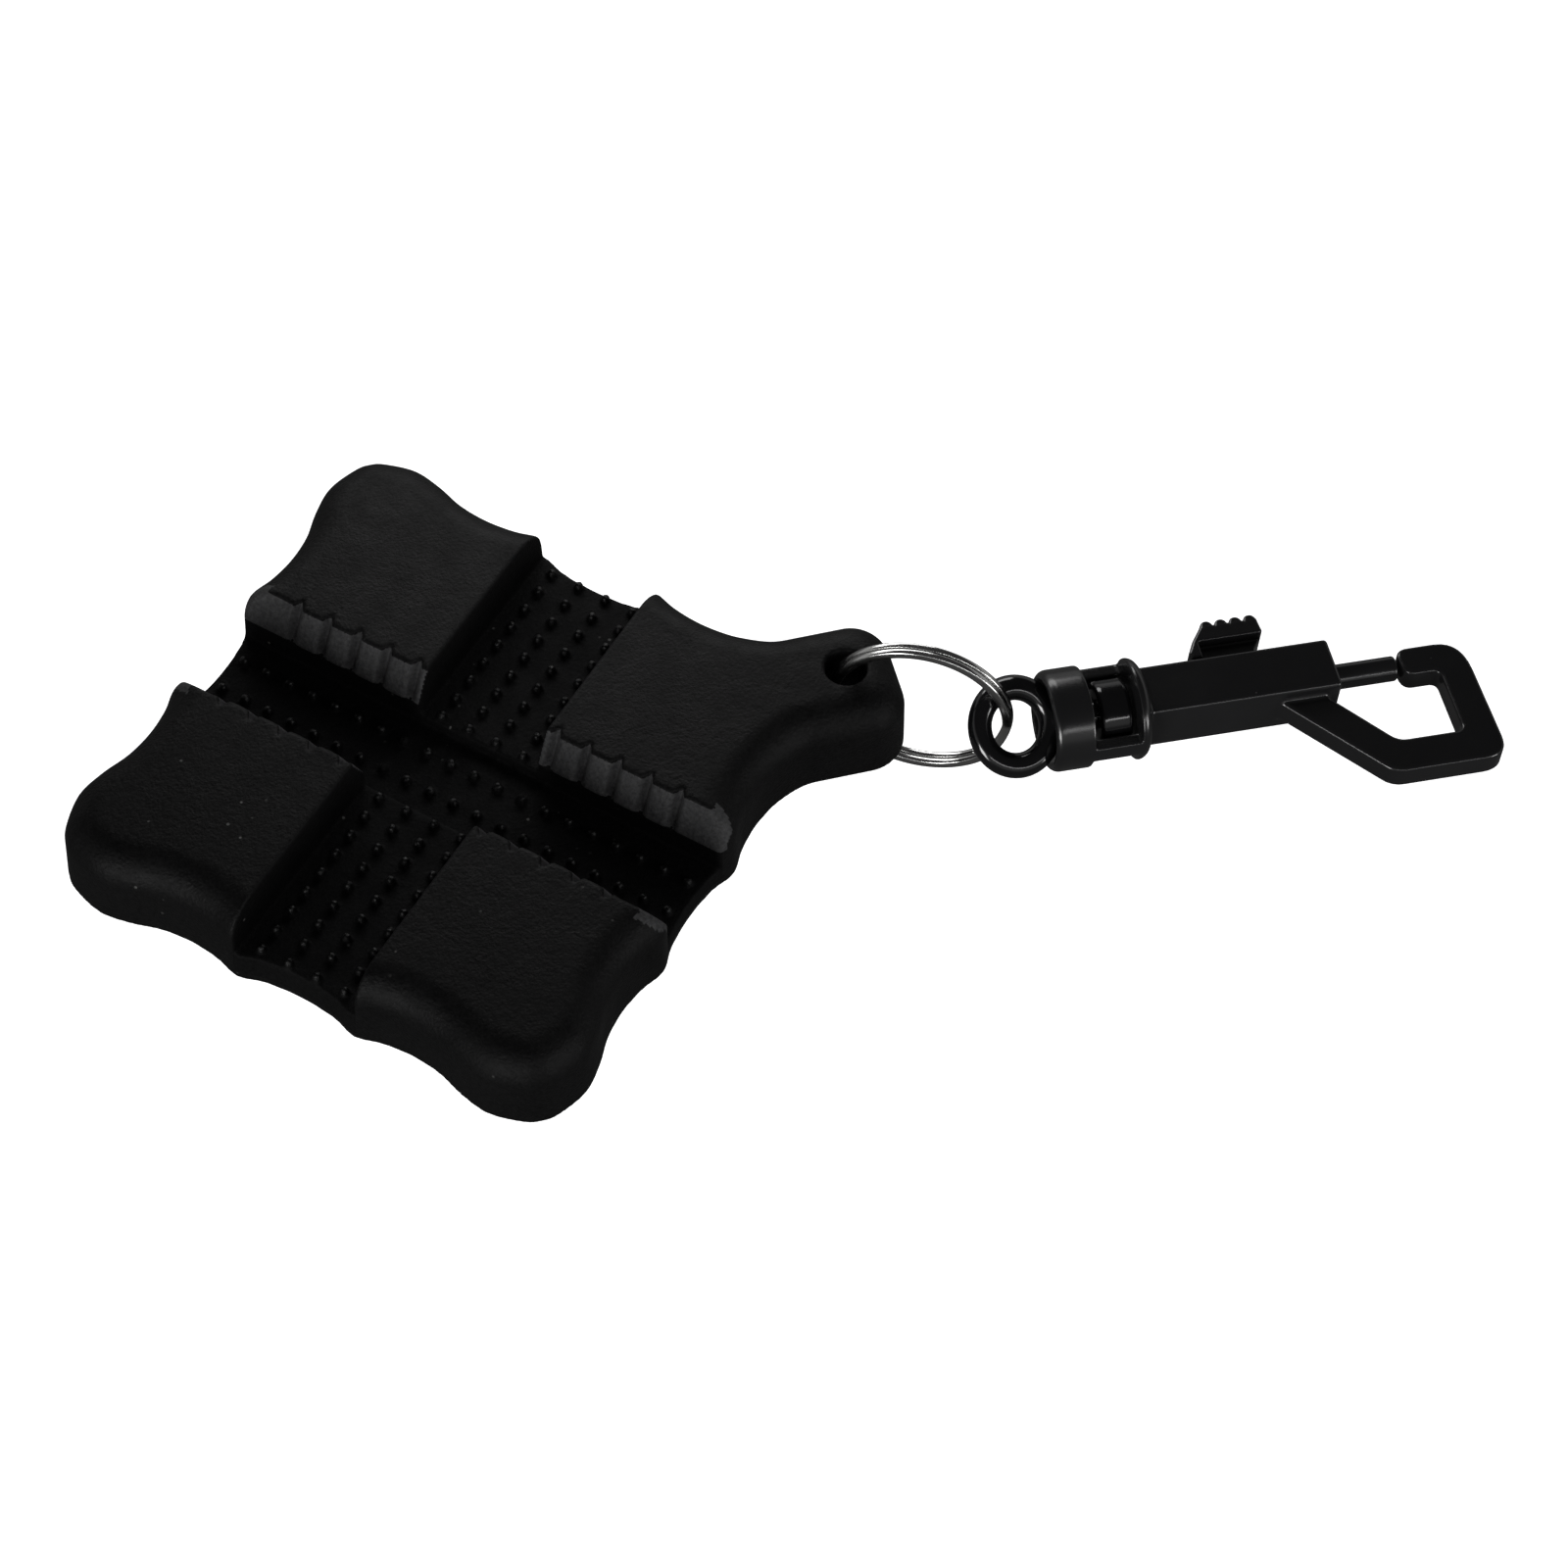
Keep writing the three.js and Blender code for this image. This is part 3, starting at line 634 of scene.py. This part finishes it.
class Look:
    """A node material: colour, roughness and bump come from procedural noise in object coordinates."""

    def __init__(self, name, **fixed):
        self.material = bpy.data.materials.new(name)
        self.material.use_nodes = True
        self.tree = self.material.node_tree
        self.shader = self.tree.nodes["Principled BSDF"]
        self.place = self.tree.nodes.new("ShaderNodeTexCoord").outputs["Object"]
        for key, value in fixed.items():
            self.shader.inputs[key].default_value = value

    def noise(self, scale, detail=4, rough=0.6):
        node = self.tree.nodes.new("ShaderNodeTexNoise")
        node.inputs["Scale"].default_value = scale
        node.inputs["Detail"].default_value = detail
        node.inputs["Roughness"].default_value = rough
        self.tree.links.new(self.place, node.inputs["Vector"])
        return node.outputs["Fac"]

    def specks(self, scale, random=1.0):
        node = self.tree.nodes.new("ShaderNodeTexVoronoi")
        node.inputs["Scale"].default_value = scale
        node.inputs["Randomness"].default_value = random
        self.tree.links.new(self.place, node.inputs["Vector"])
        return node.outputs["Distance"]

    def spread(self, value, low, high, to_low, to_high):
        node = self.tree.nodes.new("ShaderNodeMapRange")
        node.inputs["From Min"].default_value = low
        node.inputs["From Max"].default_value = high
        node.inputs["To Min"].default_value = to_low
        node.inputs["To Max"].default_value = to_high
        self.tree.links.new(value, node.inputs["Value"])
        return node.outputs["Result"]

    def maths(self, kind, a, b):
        node = self.tree.nodes.new("ShaderNodeMath")
        node.operation = kind
        for value, socket in ((a, node.inputs[0]), (b, node.inputs[1])):
            if isinstance(value, (int, float)):
                socket.default_value = value
            else:
                self.tree.links.new(value, socket)
        return node.outputs[0]

    def mix(self, factor, a, b):
        node = self.tree.nodes.new("ShaderNodeMix")
        node.data_type = "RGBA"
        self.tree.links.new(factor, node.inputs[0])
        for value, socket in ((a, node.inputs[6]), (b, node.inputs[7])):
            if isinstance(value, tuple):
                socket.default_value = (*value, 1)
            else:
                self.tree.links.new(value, socket)
        return node.outputs[2]

    def bump(self, height, strength, distance):
        node = self.tree.nodes.new("ShaderNodeBump")
        node.inputs["Strength"].default_value = strength
        node.inputs["Distance"].default_value = distance
        self.tree.links.new(height, node.inputs["Height"])
        self.tree.links.new(node.outputs["Normal"], self.shader.inputs["Normal"])

    def to(self, value, socket):
        self.tree.links.new(value, self.shader.inputs[socket])


def rubber_look(name, dark, light, gloss, rough):
    """Moulded rubber: fine grain, slow patches of shade, and a few pale specks of dust."""
    look = Look(name, **{"Specular IOR Level": gloss})
    patches = look.spread(look.noise(90, 3), 0.35, 0.68, 0, 1)
    fine = look.spread(look.noise(2100, 3, 0.7), 0.32, 0.68, 0, 1)
    shade = look.maths("ADD", look.maths("MULTIPLY", patches, 0.25), look.maths("MULTIPLY", fine, 0.75))
    base = look.mix(shade, (dark * 0.6, dark * 0.6, dark * 0.63), (light * 1.35, light * 1.35, light * 1.38))
    dots = look.spread(look.specks(420), 0.06, 0.11, 1, 0)
    where = look.spread(look.noise(160, 2), 0.56, 0.66, 0, 1)
    dust = look.maths("MULTIPLY", dots, where)
    look.to(look.mix(dust, base, (0.16, 0.16, 0.155)), "Base Color")
    look.to(look.spread(look.noise(240, 4), 0.3, 0.7, rough - 0.07, rough + 0.09), "Roughness")
    grain = look.maths("ADD", look.noise(2600, 3, 0.65), look.maths("MULTIPLY", look.noise(1100, 3), 0.8))
    look.bump(grain, 0.75, 0.00016)
    return look.material


def plastic_look(name, colour, rough, grain):
    """Black moulded plastic, faintly uneven, with a little dust."""
    look = Look(name, **{"Specular IOR Level": 0.55})
    patches = look.spread(look.noise(140, 3), 0.35, 0.7, 0, 1)
    lighter = tuple(c * 1.15 for c in colour)
    dots = look.spread(look.specks(500), 0.04, 0.07, 1, 0)
    where = look.spread(look.noise(180, 2), 0.6, 0.68, 0, 1)
    dust = look.maths("MULTIPLY", dots, where)
    look.to(look.mix(dust, look.mix(patches, colour, lighter), (0.1, 0.1, 0.1)), "Base Color")
    look.to(look.spread(look.noise(320, 4), 0.2, 0.8, rough - 0.02, rough + 0.03), "Roughness")
    fine, waves = look.noise(2400, 3), look.noise(420, 2)
    look.bump(look.maths("ADD", fine, look.maths("MULTIPLY", waves, 0.4)), grain, 0.00003)
    return look.material


def metal_look(name, colour, rough, grain):
    """Drawn and plated wire."""
    look = Look(name, Metallic=1.0)
    patches = look.spread(look.noise(200, 3), 0.3, 0.7, 0, 1)
    look.to(look.mix(patches, colour, tuple(c * 0.82 for c in colour)), "Base Color")
    look.to(look.spread(look.noise(500, 3), 0.3, 0.7, rough - 0.04, rough + 0.08), "Roughness")
    look.bump(look.noise(1500, 3), grain, 0.00003)
    return look.material


def dress(obj, material):
    obj.data.materials.clear()
    obj.data.materials.append(material)


# ---------------------------------------------------------------- the pieces

block = make_block()
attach(block, "block")
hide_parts("scrub_block")

ring = make_ring()
dress(ring, metal_look("nickel_wire", (0.56, 0.56, 0.55), 0.16, 0.2))
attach(ring, "ring")
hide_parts("split_ring")

satin = plastic_look("satin_black_plastic", (0.0085, 0.0085, 0.009), 0.22, 0.08)
glossy = plastic_look("glossy_black_plastic", (0.004, 0.004, 0.0045), 0.12, 0.04)

eye = clip_object("eye_and_head", eye_field, (-6.6, -6.9, -6.9), (15.2, 6.9, 6.9), 0.2)
dress(eye, glossy)
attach(eye, "eye")
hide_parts("swivel_eye")

hook = clip_object("clip_body", hook_field, (3.6, -17.9, -7.2), (61.9, 7.2, 7.2), 0.2)
dress(hook, satin)
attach(hook, "hook")
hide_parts("hook_body")

pin = clip_object("bolt_rod", pin_field, (28.8, -2.2, -2.2), (52.2, 2.2, 2.2), 0.12)
dress(pin, satin)
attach(pin, "bolt")
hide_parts("bolt_pin")

slide = clip_object("ridged_slide", slide_field, (23.6, 0.4, -3.9), (35.4, 10.3, 3.9), 0.12)
dress(slide, satin)
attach(slide, "bolt")
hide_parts("thumb_slide")

spring = make_spring()
dress(spring, metal_look("spring_wire_steel", (0.42, 0.42, 0.43), 0.32, 0.3))
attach(spring, "hook")
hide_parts("bolt_spring")
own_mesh(spring)


# ---------------------------------------------------------------- stage

def look_at(obj, place, target):
    obj.location = place
    toward = Vector(target) - Vector(place)
    obj.rotation_euler = toward.to_track_quat("-Z", "Y").to_euler()


def soft_light(name, place, target, size, power, tall=None):
    """A rectangular area light that the camera doesn't see."""
    data = bpy.data.lights.new(name, "AREA")
    data.shape = "RECTANGLE"
    data.size = size
    data.size_y = tall or size
    data.energy = power
    light = bpy.data.objects.new(name, data)
    light.visible_camera = False
    bpy.context.scene.collection.objects.link(light)
    look_at(light, place, target)
    return light


FLOOR_ROOM = 0.08        # metres
FLOOR_HALF = 3.0


def make_floor():
    """A plain white sheet, far enough down for the clip to hang below the block at the joints' limits."""
    low = CAD_BOX[0][2] - FLOOR_ROOM
    corners = [(x * FLOOR_HALF, y * FLOOR_HALF, low) for x, y in ((-1, -1), (1, -1), (1, 1), (-1, 1))]
    mesh = bpy.data.meshes.new("floor")
    mesh.from_pydata(corners, [], [(0, 1, 2, 3)])
    floor = bpy.data.objects.new("floor", mesh)
    bpy.context.scene.collection.objects.link(floor)
    material = bpy.data.materials.new("white_sweep")
    material.use_nodes = True
    shader = material.node_tree.nodes["Principled BSDF"]
    shader.inputs["Base Color"].default_value = (0.9, 0.9, 0.9, 1)
    shader.inputs["Roughness"].default_value = 0.9
    shader.inputs["Emission Color"].default_value = (1, 1, 1, 1)
    shader.inputs["Emission Strength"].default_value = 1.0
    mesh.materials.append(material)
    floor.visible_diffuse = False
    floor.visible_glossy = False
    return floor


def make_world():
    """White to the camera; to the object, a bright band round the horizon and a dim sky above it."""
    world = bpy.data.worlds.new("studio")
    bpy.context.scene.world = world
    world.use_nodes = True
    tree = world.node_tree
    background = tree.nodes["Background"]
    path = tree.nodes.new("ShaderNodeLightPath")
    place = tree.nodes.new("ShaderNodeTexCoord")
    split = tree.nodes.new("ShaderNodeSeparateXYZ")
    tree.links.new(place.outputs["Generated"], split.inputs[0])
    band = tree.nodes.new("ShaderNodeValToRGB")
    stops = band.color_ramp.elements
    stops[0].position, stops[0].color = 0.0, (0.06, 0.06, 0.06, 1)
    stops[1].position, stops[1].color = 1.0, (0.05, 0.05, 0.05, 1)
    for position, level in ((0.46, 0.12), (0.54, 0.45), (0.64, 0.45), (0.74, 0.03)):
        stop = stops.new(position)
        stop.color = (level, level, level, 1)
    height = tree.nodes.new("ShaderNodeMapRange")
    height.inputs["From Min"].default_value = -1
    tree.links.new(split.outputs["Z"], height.inputs["Value"])
    tree.links.new(height.outputs["Result"], band.inputs["Fac"])
    mix = tree.nodes.new("ShaderNodeMix")
    mix.data_type = "RGBA"
    mix.inputs[7].default_value = (1, 1, 1, 1)
    tree.links.new(path.outputs["Is Camera Ray"], mix.inputs[0])
    tree.links.new(band.outputs["Color"], mix.inputs[6])
    tree.links.new(mix.outputs[2], background.inputs["Color"])


make_floor()
make_world()
soft_light("back_box", (0.042, 0.104, 0.074), (0.01, 0.03, 0.01), 0.14, 0.08, 0.04)
soft_light("front_left_box", (-0.66, -0.62, 0.10), (0.0, 0.0, 0), 0.30, 4.0)
soft_light("front_right_box", (0.70, -0.66, 0.12), (0.0, 0.0, 0), 0.30, 2.4)
soft_light("front_strip", (0.15, -0.85, 0.42), (0.08, 0, 0), 0.9, 1.2, 0.06)
bpy.context.scene.view_settings.view_transform = "Standard"
